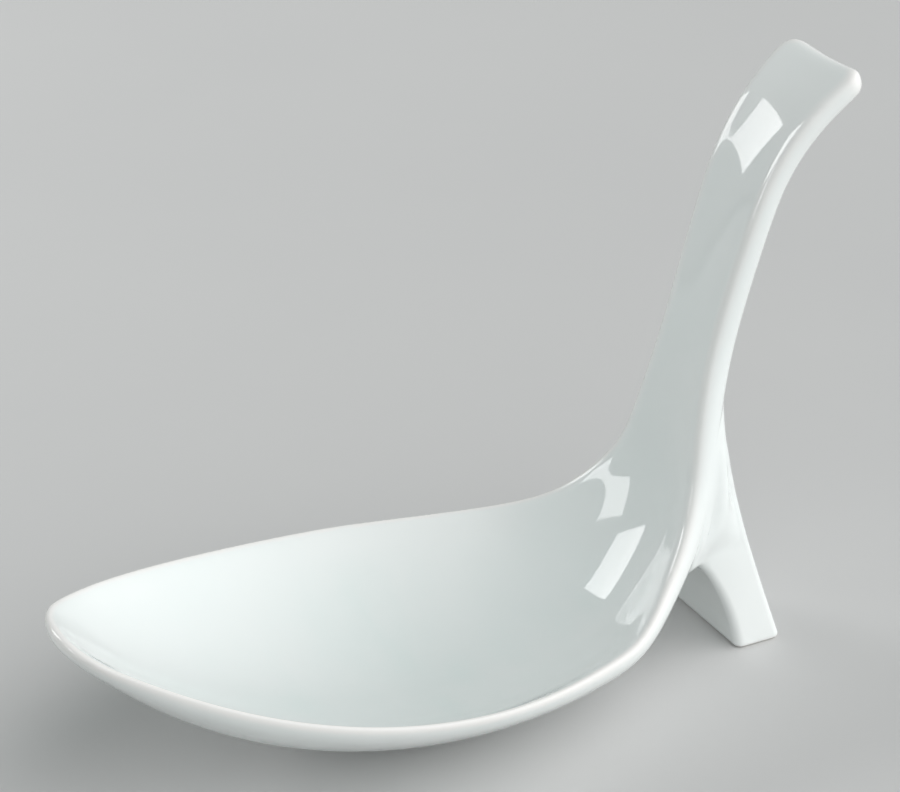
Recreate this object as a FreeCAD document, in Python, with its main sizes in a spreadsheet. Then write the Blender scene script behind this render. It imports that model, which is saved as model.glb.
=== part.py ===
"""An amuse-bouche spoon, one piece of glazed porcelain.

A pointed oval bowl runs up through a waisted neck into a steep handle, which curls back
at its top.  A slab foot grows down from the back of the neck, so the spoon stands by
itself on the foot and on the underside of the bowl, with an arch between the two.

Frame, in millimetres: X along the length, with the tip of the bowl at -X and the handle
at +X; Y across; Z up.  The two sides of the plane Y = 0 are alike.  The origin is on the
table, under the middle of the spoon's length.

The bowl, neck and handle are one skin.  Its rim line is drawn in side view, and the
half width, the hollow and the wall are given along that line, by the length from the tip.
"""
import FreeCAD
import Part
import math
import os

doc = FreeCAD.newDocument("amuse_bouche_spoon")

# Driving dimensions, in millimetres and degrees
SIZES = (
    # the rim line in side view, from the tip to the end of the handle
    ("bowl_rim_radius", 167.0, "radius of the bowl's gently dished rim line"),
    ("tip_reach", 68.0, "rim line from its lowest point to the tip"),
    ("neck_reach", 15.9, "rim line from its lowest point to the neck bend"),
    ("neck_radius", 23.0, "radius of the bend between bowl and handle"),
    ("handle_lean", 12.0, "lean of the handle from upright at the end of the neck bend"),
    ("handle_length", 43.0, "length of the handle between the neck bend and the curl"),
    ("handle_bow", 7.0, "lean that the handle gains over its length"),
    ("curl_radius", 36.0, "radius of the curl at the top of the handle"),
    ("curl_turn", 43.0, "turn of the curl"),
    # the outline, rolled out flat
    ("tip_radius", 16.0, "radius of the outline at the tip"),
    ("bowl_half_width", 31.5, "half of the bowl's greatest width"),
    ("widest_reach", 57.0, "rim line from the tip to the widest place"),
    ("shoulder_half_width", 26.1, "half width at the start of the neck bend"),
    ("neck_half_width", 16.8, "half width in the middle of the neck bend"),
    ("root_half_width", 10.5, "half width at the end of the neck bend"),
    ("handle_half_width", 7.7, "half width in the middle of the handle"),
    ("curl_half_width", 8.2, "half width at the start of the curl"),
    ("end_half_width", 10.1, "half width at the end of the handle"),
    ("end_corner_radius", 3.6, "radius of the two corners of the handle's end"),
    # the hollow
    ("bowl_depth", 15.2, "greatest depth below the rim line"),
    ("deepest_reach", 60.0, "rim line from the tip to the deepest place"),
    ("shoulder_depth", 11.6, "depth at the start of the neck bend"),
    ("neck_depth", 5.5, "depth in the middle of the neck bend"),
    ("root_depth", 2.6, "depth at the end of the neck bend"),
    ("channel_depth", 1.3, "depth of the channel along the handle"),
    # the wall
    ("bowl_wall", 3.0, "thickness of the bowl"),
    ("full_wall_reach", 31.0, "rim line from the tip to where the bowl's wall is full"),
    ("neck_wall", 5.4, "thickness of the neck"),
    ("handle_wall", 5.0, "thickness in the middle of the handle"),
    ("end_wall", 4.0, "thickness at the end of the handle"),
    ("rim_radius", 1.25, "radius of the bowl's rounded rim"),
    ("neck_side_radius", 3.0, "radius of the neck's sides"),
    ("handle_side_radius", 6.0, "radius of the handle's flattened sides"),
    ("tip_blend", 12.0, "length over which the tip's oval section becomes the rim's"),
    # the foot
    ("foot_offset", 10.8, "from the end of the neck bend back to the foot's front"),
    ("foot_half_width", 10.0, "half width of the foot at the table"),
    ("foot_length", 8.8, "length of the foot at the table"),
    ("foot_front_lean", 8.0, "lean of the foot's front face at the table"),
    ("foot_front_radius", 37.0, "radius of the foot's front face"),
    ("foot_back_lean", 18.5, "lean of the foot's back face"),
    ("foot_side_lean", 3.0, "lean of the foot's two sides"),
    ("foot_root_reach", 31.0, "from the neck bend up to the end of the foot's back"),
    ("foot_root_inset", 1.0, "depth of that end in the handle's wall"),
    ("foot_corner_radius", 1.5, "radius of the foot's upright corners"),
    ("foot_edge_radius", 1.0, "radius of the foot's edge at the table"),
    ("arch_height", 18.9, "height of the arch between foot and bowl"),
    ("arch_corner_radius", 2.5, "radius of the arch's inner corner"),
)
sheet = doc.addObject("Spreadsheet::Sheet", "Sizes")
for row, (name, value, meaning) in enumerate(SIZES, start=1):
    sheet.set("A%d" % row, name)
    sheet.set("B%d" % row, str(value))
    sheet.set("C%d" % row, meaning)
    sheet.setAlias("B%d" % row, name)
doc.recompute()


def size(name):
    """One driving dimension, read from the sheet."""
    return float(sheet.get(name))


def smooth_curve(stations, level_start=False):
    """A smooth function through (place, value) stations that never overshoots them."""
    places = [place for place, _ in stations]
    values = [value for _, value in stations]
    gaps = [after - before for before, after in zip(places, places[1:])]
    rises = [(after - before) / gap for before, after, gap in zip(values, values[1:], gaps)]
    slopes = [0.0 if level_start else rises[0]]
    for i in range(1, len(rises)):
        before, after = rises[i - 1], rises[i]
        near, far = 2 * gaps[i] + gaps[i - 1], gaps[i] + 2 * gaps[i - 1]
        rising_on = before * after > 0
        slopes.append((near + far) / (near / before + far / after) if rising_on else 0.0)
    slopes.append(rises[-1])

    def value_at(place):
        i = 0
        while i < len(gaps) - 1 and place > places[i + 1]:
            i += 1
        part = min(max((place - places[i]) / gaps[i], 0.0), 1.0)
        rest = 1.0 - part
        return (values[i] * rest * rest * (1 + 2 * part)
                + slopes[i] * gaps[i] * part * rest * rest
                + values[i + 1] * part * part * (3 - 2 * part)
                - slopes[i + 1] * gaps[i] * part * part * rest)

    return value_at


# The rim line: four arcs that run into each other
bowl_radius = size("bowl_rim_radius")
neck_radius = size("neck_radius")
curl_radius = size("curl_radius")
tip_angle = size("tip_reach") / bowl_radius
neck_angle = size("neck_reach") / bowl_radius
handle_angle = math.radians(90.0 - size("handle_lean"))
handle_turn = math.radians(size("handle_bow"))
handle_radius = size("handle_length") / handle_turn
curl_angle = handle_angle - handle_turn

neck_start = size("tip_reach") + size("neck_reach")
handle_start = neck_start + neck_radius * (handle_angle - neck_angle)
curl_start = handle_start + size("handle_length")
rim_length = curl_start + curl_radius * math.radians(size("curl_turn"))
neck_middle = (neck_start + handle_start) / 2
handle_middle = (handle_start + curl_start) / 2

neck_centre = ((bowl_radius - neck_radius) * math.sin(neck_angle),
               bowl_radius - (bowl_radius - neck_radius) * math.cos(neck_angle))
handle_centre = (neck_centre[0] + (neck_radius + handle_radius) * math.sin(handle_angle),
                 neck_centre[1] - (neck_radius + handle_radius) * math.cos(handle_angle))
curl_centre = (handle_centre[0] - (handle_radius - curl_radius) * math.sin(curl_angle),
               handle_centre[1] + (handle_radius - curl_radius) * math.cos(curl_angle))


def rim_line(place):
    """X, Z and slope of the rim line, from the bowl rim's lowest point at X = Z = 0."""
    if place <= neck_start:
        angle = place / bowl_radius - tip_angle
        return (bowl_radius * math.sin(angle),
                bowl_radius * (1.0 - math.cos(angle)), angle)
    if place <= handle_start:
        angle = neck_angle + (place - neck_start) / neck_radius
        return (neck_centre[0] + neck_radius * math.sin(angle),
                neck_centre[1] - neck_radius * math.cos(angle), angle)
    if place <= curl_start:
        angle = handle_angle - (place - handle_start) / handle_radius
        return (handle_centre[0] - handle_radius * math.sin(angle),
                handle_centre[1] + handle_radius * math.cos(angle), angle)
    angle = curl_angle - (place - curl_start) / curl_radius
    return (curl_centre[0] - curl_radius * math.sin(angle),
            curl_centre[1] + curl_radius * math.cos(angle), angle)


# The outline: an arc at the tip, an arc along each side that the tip's arc touches from
# inside, a smooth curve from the widest place to the end, and two round corners there
tip_radius = size("tip_radius")
widest = size("widest_reach")
half_width = size("bowl_half_width")
side_radius = ((widest ** 2 - 2 * widest * tip_radius + half_width ** 2)
               / (2 * (half_width - tip_radius)))
tip_end = widest - side_radius * (widest - tip_radius) / (side_radius - tip_radius)
end_corner = size("end_corner_radius")
corner_start = rim_length - end_corner

rear_outline = smooth_curve((
    (widest, half_width),
    (neck_start, size("shoulder_half_width")),
    (neck_middle, size("neck_half_width")),
    (handle_start, size("root_half_width")),
    (handle_middle, size("handle_half_width")),
    (curl_start, size("curl_half_width")),
    (rim_length, size("end_half_width")),
), level_start=True)


def outline(place):
    """Half width of the spoon."""
    if place < tip_end:
        return math.sqrt(max(tip_radius ** 2 - (tip_radius - place) ** 2, 0.0))
    if place < widest:
        return half_width - side_radius + math.sqrt(side_radius ** 2 - (widest - place) ** 2)
    inset = max(place - corner_start, 0.0)
    return rear_outline(place) - end_corner + math.sqrt(max(end_corner ** 2 - inset ** 2, 0.0))


# The hollow: a parabola from the tip to the deepest place, then a smooth curve
deepest = size("deepest_reach")
rear_hollow = smooth_curve((
    (deepest, size("bowl_depth")),
    (neck_start, size("shoulder_depth")),
    (neck_middle, size("neck_depth")),
    (handle_start, size("root_depth")),
    (handle_middle, size("channel_depth")),
    (rim_length, size("channel_depth")),
), level_start=True)


def hollow(place):
    """Depth of the inner face below the rim line, on the centre line."""
    if place < deepest:
        return size("bowl_depth") * (1.0 - (1.0 - place / deepest) ** 2)
    return rear_hollow(place)


wall = smooth_curve((
    (0.0, 2 * size("rim_radius")),
    (size("full_wall_reach"), size("bowl_wall")),
    (widest, size("bowl_wall")),
    (neck_middle, size("neck_wall")),
    (handle_start, size("neck_wall")),
    (handle_middle, size("handle_wall")),
    (rim_length, size("end_wall")),
))
side_rounding = smooth_curve((
    (0.0, size("rim_radius")),
    (widest, size("rim_radius")),
    (neck_middle, size("neck_side_radius")),
    (handle_middle, size("handle_side_radius")),
    (rim_length, size("handle_side_radius")),
))


def edge_share(distance, radius):
    """Share of the full thickness at a distance from an edge rounded to a radius."""
    return math.sqrt(max(1.0 - max(1.0 - distance / radius, 0.0) ** 2, 0.0))


# Directions of the section's points, in degrees: close together at the two rims
QUARTER = (0, 3, 6, 10, 15, 21, 29, 39, 51, 64, 77)
RING = ([turn for turn in QUARTER] + [180 - turn for turn in (90,) + QUARTER[:0:-1]]
        + [180 + turn for turn in QUARTER] + [360 - turn for turn in (90,) + QUARTER[:0:-1]])


def section(place):
    """Control points of one closed cross-section, square to the rim line.

    The middle of the wall hangs below the rim line by a parabola across the width.  The
    thickness falls off towards both sides so that they end in the given radius.
    """
    x, z, angle = rim_line(place)
    half = outline(place)
    thick = wall(place)
    ends = edge_share(place, size("rim_radius")) * edge_share(rim_length - place, thick / 2)
    power = max(2.0, 2.0 * half * side_rounding(place) / (thick / 2) ** 2)
    power = 2.0 + (power - 2.0) * min(place / size("tip_blend"), 1.0)
    points = []
    for turn in RING:
        share = math.cos(math.radians(turn))
        bulge = thick / 2 * ends * math.sqrt(max(1.0 - abs(share) ** power, 0.0))
        level = -thick / 2 - hollow(place) * (1.0 - share ** 2)
        level += bulge if turn < 180 else -bulge
        points.append(FreeCAD.Vector(x - level * math.sin(angle), half * share,
                                     z + level * math.cos(angle)))
    return points


# The skin: one smooth surface over all sections, closed by a cap at the handle's end
def spread(start, stop, count):
    """Evenly spaced places after start, the last of them at stop."""
    return [start + (stop - start) * i / count for i in range(1, count + 1)]


TIP_TURNS = (6, 12, 19, 27, 36, 46)
CORNER_TURNS = (20, 38, 54, 67, 77)
places = [tip_radius * (1 - math.cos(math.radians(turn))) for turn in TIP_TURNS]
places += spread(places[-1], widest, 9)
places += spread(widest, neck_start, 6)
places += spread(neck_start, handle_start, 9)
places += spread(handle_start, curl_start, 8)
places += spread(curl_start, corner_start, 5)
places += [corner_start + end_corner * math.sin(math.radians(turn)) for turn in CORNER_TURNS]

tip_x, tip_z, tip_slope = rim_line(0.0)
tip = FreeCAD.Vector(tip_x + wall(0.0) / 2 * math.sin(tip_slope), 0,
                     tip_z - wall(0.0) / 2 * math.cos(tip_slope))
net = [[tip] * len(RING)] + [section(place) for place in places]

DEGREE = 3
knots = list(range(len(net) - DEGREE + 1))
knot_counts = [DEGREE + 1] + [1] * (len(knots) - 2) + [DEGREE + 1]
ring_knots = list(range(len(RING) + 1))
surface = Part.BSplineSurface()
surface.buildFromPolesMultsKnots(net, knot_counts, [1] * len(ring_knots), knots, ring_knots,
                                 False, True, DEGREE, DEGREE)

# it is lifted until the underside of the bowl touches the table
SAMPLES_PER_KNOT = 8
bowl_knots = knots[-1] * places.index(neck_start) / len(places)
lift = -min(surface.value(i / SAMPLES_PER_KNOT, across).z
            for i in range(int(bowl_knots) * SAMPLES_PER_KNOT) for across in ring_knots)
surface.translate(FreeCAD.Vector(0, 0, lift))
cap = Part.Face(Part.Wire([surface.uIso(knots[-1]).toShape()]))
shell = Part.makeShell([surface.toShape(), cap])
shell.sewShape()
solid = Part.Solid(shell)
if solid.Volume < 0:
    solid.reverse()
skin = doc.addObject("Part::Feature", "Skin")
skin.Label = "bowl_neck_and_handle"
skin.Shape = solid
skin.Placement = FreeCAD.Placement()


def in_wall(place, depth):
    """A point on the centre line, at a depth under the spoon's inner face."""
    x, z, angle = rim_line(place)
    level = hollow(place) + depth
    return FreeCAD.Vector(x + level * math.sin(angle), 0, z - level * math.cos(angle) + lift)


def on_arc(centre, radius, angle):
    """A point of an arc in side view, at an angle from +X towards +Z."""
    return centre + radius * FreeCAD.Vector(math.cos(angle), 0, math.sin(angle))


def arc(centre, radius, start, stop):
    """An arc in side view."""
    return Part.Arc(on_arc(centre, radius, start), on_arc(centre, radius, (start + stop) / 2),
                    on_arc(centre, radius, stop))


def lines(points):
    """Straight edges from point to point."""
    return [Part.LineSegment(p, q).toShape() for p, q in zip(points, points[1:])]


# The foot in side view: the front is an arc that the arch's inner corner touches
foot_front = FreeCAD.Vector(rim_line(handle_start)[0] + size("foot_offset"), 0, 0)
foot_back = foot_front + FreeCAD.Vector(size("foot_length"), 0, 0)
front_lean = math.radians(size("foot_front_lean"))
front_radius = size("foot_front_radius")
front_centre = foot_front - front_radius * FreeCAD.Vector(math.cos(front_lean), 0,
                                                          math.sin(front_lean))
arch_radius = size("arch_corner_radius")
arch_rise = size("arch_height") - arch_radius - front_centre.z
arch_turn = math.asin(arch_rise / (front_radius - arch_radius))
arch_centre = on_arc(front_centre, front_radius - arch_radius, arch_turn)
front_arc = arc(front_centre, front_radius, front_lean, arch_turn)
arch_arc = arc(arch_centre, arch_radius, arch_turn, math.pi / 2)

# the back is straight, then an arc that sinks into the back of the handle
root_place = handle_start + size("foot_root_reach")
root = in_wall(root_place, wall(root_place) - size("foot_root_inset"))
root_slope = rim_line(root_place)[2]
back_lean = math.radians(size("foot_back_lean"))
back_turn = back_lean + math.pi / 2 - root_slope
up_back = FreeCAD.Vector(-math.sin(back_lean), 0, math.cos(back_lean))
up_handle = FreeCAD.Vector(math.cos(root_slope), 0, math.sin(root_slope))
crossing = foot_back + up_back * ((root - foot_back).cross(up_handle).y
                                  / up_back.cross(up_handle).y)
tangent = (root - crossing).Length
knee = crossing - up_back * tangent
back_radius = tangent / math.tan(back_turn / 2)
back_centre = knee + back_radius * FreeCAD.Vector(math.cos(back_lean), 0, math.sin(back_lean))
back_arc = arc(back_centre, back_radius, math.pi + back_lean, math.pi + back_lean - back_turn)

# above the arch it reaches past the wall of the neck, and what is too much is cut off
neck_side = in_wall(neck_middle, 0.0)
profile = doc.addObject("Part::Feature", "FootProfile")
profile.Shape = Part.Face(Part.Wire(
    [front_arc.toShape(), arch_arc.toShape()]
    + lines([arch_arc.EndPoint, FreeCAD.Vector(neck_side.x, 0, size("arch_height")),
             in_wall(root_place, 0.0), root])
    + [back_arc.toShape()] + lines([knee, foot_back, foot_front])))
slab = doc.addObject("Part::Extrusion", "FootSlab")
slab.Base = profile
slab.DirMode = "Custom"
slab.Dir = FreeCAD.Vector(0, 1, 0)
slab.Solid = True
slab.Symmetric = True
slab.setExpression("LengthFwd", "3 * Sizes.foot_half_width")

# the two sides lean in
taper = doc.addObject("Part::Wedge", "FootTaper")
taper.Xmin = taper.X2min = 0.0
taper.Xmax = taper.X2max = 2 * foot_back.x
taper.Ymin = 0.0
taper.Ymax = root.z
taper.setExpression("Zmax", "Sizes.foot_half_width")
taper.setExpression("Zmin", "-Sizes.foot_half_width")
taper.setExpression("Z2max", "Sizes.foot_half_width * 1 mm - Ymax * tan(Sizes.foot_side_lean * 1 deg)")
taper.setExpression("Z2min", "-Z2max")
taper.Placement = FreeCAD.Placement(FreeCAD.Vector(), FreeCAD.Rotation(FreeCAD.Vector(1, 0, 0), 90))
blank = doc.addObject("Part::Common", "FootBlank")
blank.Base = slab
blank.Tool = taper
doc.recompute()


def fillet(base, name, radius, wanted):
    """A fillet on those edges of an object that a test picks."""
    feature = doc.addObject("Part::Fillet", name)
    feature.Base = base
    feature.Edges = [(number, radius, radius)
                     for number, edge in enumerate(base.Shape.Edges, start=1) if wanted(edge)]
    doc.recompute()
    return feature


def is_upright_corner(edge):
    """True on the foot's four corners, which run up from the table along its sides."""
    box = edge.BoundBox
    return box.YMin * box.YMax > 0 and box.ZLength > box.YLength > 0


def is_at_table(edge):
    return edge.BoundBox.ZMax < 0.001


corners = fillet(blank, "FootCorners", size("foot_corner_radius"), is_upright_corner)
rounded = fillet(corners, "FootEdge", size("foot_edge_radius"), is_at_table)

# the part on the inner side of the wall's middle is cut off, so nothing shows in the neck
inner_places = [neck_start] + spread(neck_start, curl_start, 16)
inner_points = [in_wall(place, wall(place) / 2) for place in inner_places]
inner_corner = FreeCAD.Vector(inner_points[0].x, 0, inner_points[-1].z)
inner = doc.addObject("Part::Feature", "NeckInside")
inner.Shape = Part.Face(Part.Wire(lines(inner_points + [inner_corner, inner_points[0]])))
inner_block = doc.addObject("Part::Extrusion", "NeckInsideBlock")
inner_block.Base = inner
inner_block.DirMode = "Custom"
inner_block.Dir = FreeCAD.Vector(0, 1, 0)
inner_block.Solid = True
inner_block.Symmetric = True
inner_block.setExpression("LengthFwd", "3 * Sizes.foot_half_width")
foot = doc.addObject("Part::Cut", "Foot")
foot.Base = rounded
foot.Tool = inner_block

# The whole spoon, moved along X until the origin is under the middle of its length
spoon = doc.addObject("Part::Fuse", "Spoon")
spoon.Label = "spoon"
spoon.Base = skin
spoon.Tool = foot
doc.recompute()
span = spoon.Shape.optimalBoundingBox(False, False)
spoon.Placement = FreeCAD.Placement(FreeCAD.Vector(-(span.XMin + span.XMax) / 2, 0, 0),
                                    FreeCAD.Rotation())
doc.recompute()

for item in doc.Objects:
    if {"Invalid", "Error"} & set(item.State):
        raise RuntimeError("%s failed: %s" % (item.Name, item.State))
if spoon.Shape.isNull() or not spoon.Shape.isValid() or len(spoon.Shape.Solids) != 1:
    raise RuntimeError("the spoon is not one valid solid")
if spoon.Shape.Volume <= skin.Shape.Volume:
    raise RuntimeError("the foot is missing")

os.makedirs("parts", exist_ok=True)
spoon.Shape.exportStep("parts/%s.step" % spoon.Label)
span = spoon.Shape.optimalBoundingBox(False, False)
print("spoon %.1f x %.1f x %.1f mm, %.0f cubic mm"
      % (span.XLength, span.YLength, span.ZLength, spoon.Shape.Volume))
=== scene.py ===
# %% [markdown]
# # An amuse-bouche spoon in glazed porcelain
#
# The spoon is one piece: a pointed oval bowl, a waisted neck, a steep handle that curls
# back at its top, and a slab foot behind the neck on which it stands.  A potter casts it in
# one mould, joins nothing to it afterwards, and the glaze then rounds every edge and fills
# every inner corner.  So the picture needs one continuous skin with soft edges, a glossy
# white finish, and light that shows in that gloss.
#
# The solid model gives the true sizes.  Its mesh has a sharp line where the foot meets the
# neck, so a new skin is worked out here from the same sizes, with that line filled by glaze.

import math

import bpy
import numpy as np
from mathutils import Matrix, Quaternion, Vector


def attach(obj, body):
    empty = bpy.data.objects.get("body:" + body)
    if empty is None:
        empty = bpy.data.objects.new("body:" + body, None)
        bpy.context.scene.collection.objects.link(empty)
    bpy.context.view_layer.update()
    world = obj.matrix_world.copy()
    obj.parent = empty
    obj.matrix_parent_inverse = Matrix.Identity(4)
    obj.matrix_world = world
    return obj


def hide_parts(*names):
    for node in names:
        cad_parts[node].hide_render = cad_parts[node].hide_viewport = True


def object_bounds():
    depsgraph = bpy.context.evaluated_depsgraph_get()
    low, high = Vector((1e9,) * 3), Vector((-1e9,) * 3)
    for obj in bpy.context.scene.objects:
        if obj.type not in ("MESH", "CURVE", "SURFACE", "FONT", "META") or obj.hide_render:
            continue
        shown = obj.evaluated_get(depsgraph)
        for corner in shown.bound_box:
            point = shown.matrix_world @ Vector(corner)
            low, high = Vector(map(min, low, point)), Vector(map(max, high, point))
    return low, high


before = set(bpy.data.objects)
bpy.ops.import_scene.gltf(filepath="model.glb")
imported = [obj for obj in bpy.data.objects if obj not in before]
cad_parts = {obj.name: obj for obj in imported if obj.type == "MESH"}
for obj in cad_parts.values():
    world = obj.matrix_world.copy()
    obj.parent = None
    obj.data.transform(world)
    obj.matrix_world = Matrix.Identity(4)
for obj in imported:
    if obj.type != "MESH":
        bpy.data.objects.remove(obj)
cad_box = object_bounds()
print("nodes:", sorted(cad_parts), "box:", [tuple(corner) for corner in cad_box])

MM = 0.001

# %% [markdown]
# ## The rim line
#
# Seen from the side, the rim of the bowl and the front of the handle are one line of four
# arcs: a gently dished bowl, a tight bend at the neck, a nearly straight handle and the
# curl at its top.  Everything else is placed by the length along this line from the tip,
# as a boat builder places frames along a keel.

# %% The rim line in side view
bowl_rim_radius = 167.0 * MM
neck_radius = 23.0 * MM
curl_radius = 36.0 * MM
tip_reach = 68.0 * MM
neck_reach = 15.9 * MM
handle_length = 43.0 * MM
handle_lean = math.radians(12.0)
handle_bow = math.radians(7.0)
curl_turn = math.radians(43.0)

tip_angle = tip_reach / bowl_rim_radius
neck_angle = neck_reach / bowl_rim_radius
handle_angle = math.pi / 2 - handle_lean
handle_radius = handle_length / handle_bow
curl_angle = handle_angle - handle_bow

neck_start = tip_reach + neck_reach
handle_start = neck_start + neck_radius * (handle_angle - neck_angle)
curl_start = handle_start + handle_length
rim_length = curl_start + curl_radius * curl_turn
neck_middle = (neck_start + handle_start) / 2
handle_middle = (handle_start + curl_start) / 2

bowl_centre = np.array([0.0, bowl_rim_radius])
neck_centre = bowl_centre + (bowl_rim_radius - neck_radius) * np.array(
    [math.sin(neck_angle), -math.cos(neck_angle)])
handle_centre = neck_centre + (neck_radius + handle_radius) * np.array(
    [math.sin(handle_angle), -math.cos(handle_angle)])
curl_centre = handle_centre + (handle_radius - curl_radius) * np.array(
    [-math.sin(curl_angle), math.cos(curl_angle)])


def rim_line(place):
    """X, Z and slope of the rim line at each length from the tip.

    A point of an arc is its centre plus or minus the radius along the arc's normal, and
    the slope grows with the length in the bowl and neck and falls in the handle and curl.
    """
    place = np.asarray(place, float)
    parts = [place <= neck_start, place <= handle_start, place <= curl_start]
    slope = np.select(parts, [place / bowl_rim_radius - tip_angle,
                              neck_angle + (place - neck_start) / neck_radius,
                              handle_angle - (place - handle_start) / handle_radius],
                      curl_angle - (place - curl_start) / curl_radius)
    centres = (bowl_centre, neck_centre, handle_centre, curl_centre)
    radii = (bowl_rim_radius, neck_radius, -handle_radius, -curl_radius)
    radius = np.select(parts, radii[:3], radii[3])
    x = np.select(parts, [c[0] for c in centres[:3]], curl_centre[0]) + radius * np.sin(slope)
    z = np.select(parts, [c[1] for c in centres[:3]], curl_centre[1]) - radius * np.cos(slope)
    return x, z, slope


print("rim line: %.1f mm long" % (rim_length / MM))

# %% [markdown]
# ## Width, hollow and wall
#
# Four more curves say how wide the spoon is, how deep it is hollowed, how thick the clay is
# and how round its sides are at each place.  They run through a few measured stations with
# a cubic that never swings past them, because a wobble that is too small to see in a
# drawing shows at once in the reflections of a glossy glaze.

# %% A smooth curve through stations
def smooth_curve(stations, level_start=False):
    """A function through (place, value) stations.

    Between two stations it is the cubic with their values and slopes.  The slope at a
    station is the weighted harmonic mean of the rises on its two sides, or level where
    they point opposite ways.
    """
    places, values = np.array(stations, float).T
    gaps = np.diff(places)
    rises = np.diff(values) / gaps
    before, after = rises[:-1], rises[1:]
    near, far = 2 * gaps[1:] + gaps[:-1], gaps[1:] + 2 * gaps[:-1]
    rising_on = before * after > 0
    safe_before, safe_after = np.where(rising_on, before, 1.0), np.where(rising_on, after, 1.0)
    middle = np.where(rising_on, (near + far) / (near / safe_before + far / safe_after), 0.0)
    slopes = np.concatenate([[0.0 if level_start else rises[0]], middle, [rises[-1]]])

    def value_at(place):
        i = np.clip(np.searchsorted(places, place) - 1, 0, len(gaps) - 1)
        part = np.clip((place - places[i]) / gaps[i], 0.0, 1.0)
        rest = 1.0 - part
        return (values[i] * rest ** 2 * (1 + 2 * part) + slopes[i] * gaps[i] * part * rest ** 2
                + values[i + 1] * part ** 2 * (3 - 2 * part)
                - slopes[i + 1] * gaps[i] * part ** 2 * rest)

    return value_at


print("a curve that rises from 0 to 1 and stays there is at %.2f half way up"
      % smooth_curve([(0, 0), (1, 1), (2, 1)])(0.5))

# %% The outline, rolled out flat
tip_radius = 16.0 * MM
bowl_half_width = 31.5 * MM
widest = 57.0 * MM
end_corner = 3.6 * MM
side_radius = ((widest ** 2 - 2 * widest * tip_radius + bowl_half_width ** 2)
               / (2 * (bowl_half_width - tip_radius)))
tip_end = widest - side_radius * (widest - tip_radius) / (side_radius - tip_radius)
corner_start = rim_length - end_corner

rear_outline = smooth_curve([
    (widest, bowl_half_width),
    (neck_start, 26.1 * MM),
    (neck_middle, 16.8 * MM),
    (handle_start, 10.5 * MM),
    (handle_middle, 7.7 * MM),
    (curl_start, 8.2 * MM),
    (rim_length, 10.1 * MM),
], level_start=True)


def outline(place):
    """Half width: an arc at the tip, a wide arc along the side, a smooth curve to the end,
    and the round corners of the end taken off it."""
    tip_arc = np.sqrt(np.maximum(tip_radius ** 2 - (tip_radius - place) ** 2, 0.0))
    side_arc = bowl_half_width - side_radius + np.sqrt(
        np.maximum(side_radius ** 2 - (widest - place) ** 2, 0.0))
    inset = np.maximum(place - corner_start, 0.0)
    rear = rear_outline(place) - end_corner + np.sqrt(
        np.maximum(end_corner ** 2 - inset ** 2, 0.0))
    return np.select([place < tip_end, place < widest], [tip_arc, side_arc], rear)


print("half width: %.1f mm at the widest, %.1f mm in the middle of the handle"
      % (outline(widest) / MM, outline(handle_middle) / MM))

# %% The hollow, the wall and the roundness of the edges
bowl_depth = 15.2 * MM
deepest = 60.0 * MM
rim_radius = 1.25 * MM
tip_blend = 12.0 * MM
rear_hollow = smooth_curve([
    (deepest, bowl_depth),
    (neck_start, 11.6 * MM),
    (neck_middle, 5.5 * MM),
    (handle_start, 2.6 * MM),
    (handle_middle, 1.3 * MM),
    (curl_start, 1.2 * MM),
    (rim_length, 0.8 * MM),
], level_start=True)
wall = smooth_curve([
    (0.0, 2 * rim_radius),
    (31.0 * MM, 3.0 * MM),
    (widest, 3.0 * MM),
    (neck_middle, 5.4 * MM),
    (handle_start, 5.4 * MM),
    (handle_middle, 5.0 * MM),
    (rim_length, 4.0 * MM),
])
side_rounding = smooth_curve([
    (0.0, rim_radius),
    (widest, rim_radius),
    (neck_middle, 2.4 * MM),
    (handle_middle, 4.5 * MM),
    (rim_length, 3.2 * MM),
])


def hollow(place):
    """Depth under the rim line: a parabola from the tip to the deepest place, then a curve."""
    front = bowl_depth * (1.0 - (1.0 - place / deepest) ** 2)
    return np.where(place < deepest, front, rear_hollow(place))


def edge_share(distance, radius):
    """Share of the full thickness at a distance from a rounded edge: a quarter circle."""
    return np.sqrt(np.maximum(1.0 - np.maximum(1.0 - distance / radius, 0.0) ** 2, 0.0))


print("bowl: %.1f mm deep, wall %.1f mm" % (hollow(deepest) / MM, wall(widest) / MM))

# %% [markdown]
# ## The skin of bowl, neck and handle
#
# Each cross-section is a closed ring: a wall that hangs below the rim line by a parabola
# and thins towards its two rounded sides.  The rings are the control points of one smooth
# cubic surface.  A cubic surface bends evenly, so highlights glide over it with no
# facets; a mesh made straight from the rings would show each of them.

# %% Control points of the cross-sections
QUARTER = np.array([0, 3, 6, 10, 15, 21, 29, 39, 51, 64, 77], float)
HALF = np.concatenate([QUARTER, [90.0], 180.0 - QUARTER[:0:-1]])
RING = np.concatenate([HALF, HALF + 180.0])


def section(place):
    """Rings of control points, one row for each place.

    Across the ring the point is at the cosine of its turn times the half width.  Its level
    under the rim line is half the wall plus the hollow's parabola, plus or minus the
    bulge, which is the half wall times the root of one less a power of the cosine.
    """
    place = np.asarray(place, float)[:, None]
    x, z, slope = rim_line(place)
    half, thick = outline(place), wall(place)
    ends = edge_share(place, rim_radius) * edge_share(rim_length - place, thick / 2)
    power = np.maximum(2.0, 2.0 * half * side_rounding(place) / (thick / 2) ** 2)
    power = 2.0 + (power - 2.0) * np.minimum(place / tip_blend, 1.0)
    share = np.cos(np.radians(RING))[None, :]
    side = np.where(RING < 180.0, 1.0, -1.0)[None, :]
    bulge = thick / 2 * ends * np.sqrt(np.maximum(1.0 - np.abs(share) ** power, 0.0))
    level = -thick / 2 - hollow(place) * (1.0 - share ** 2) + side * bulge
    return np.stack([x - level * np.sin(slope), half * share + 0 * level,
                     z + level * np.cos(slope)], axis=-1)


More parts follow.
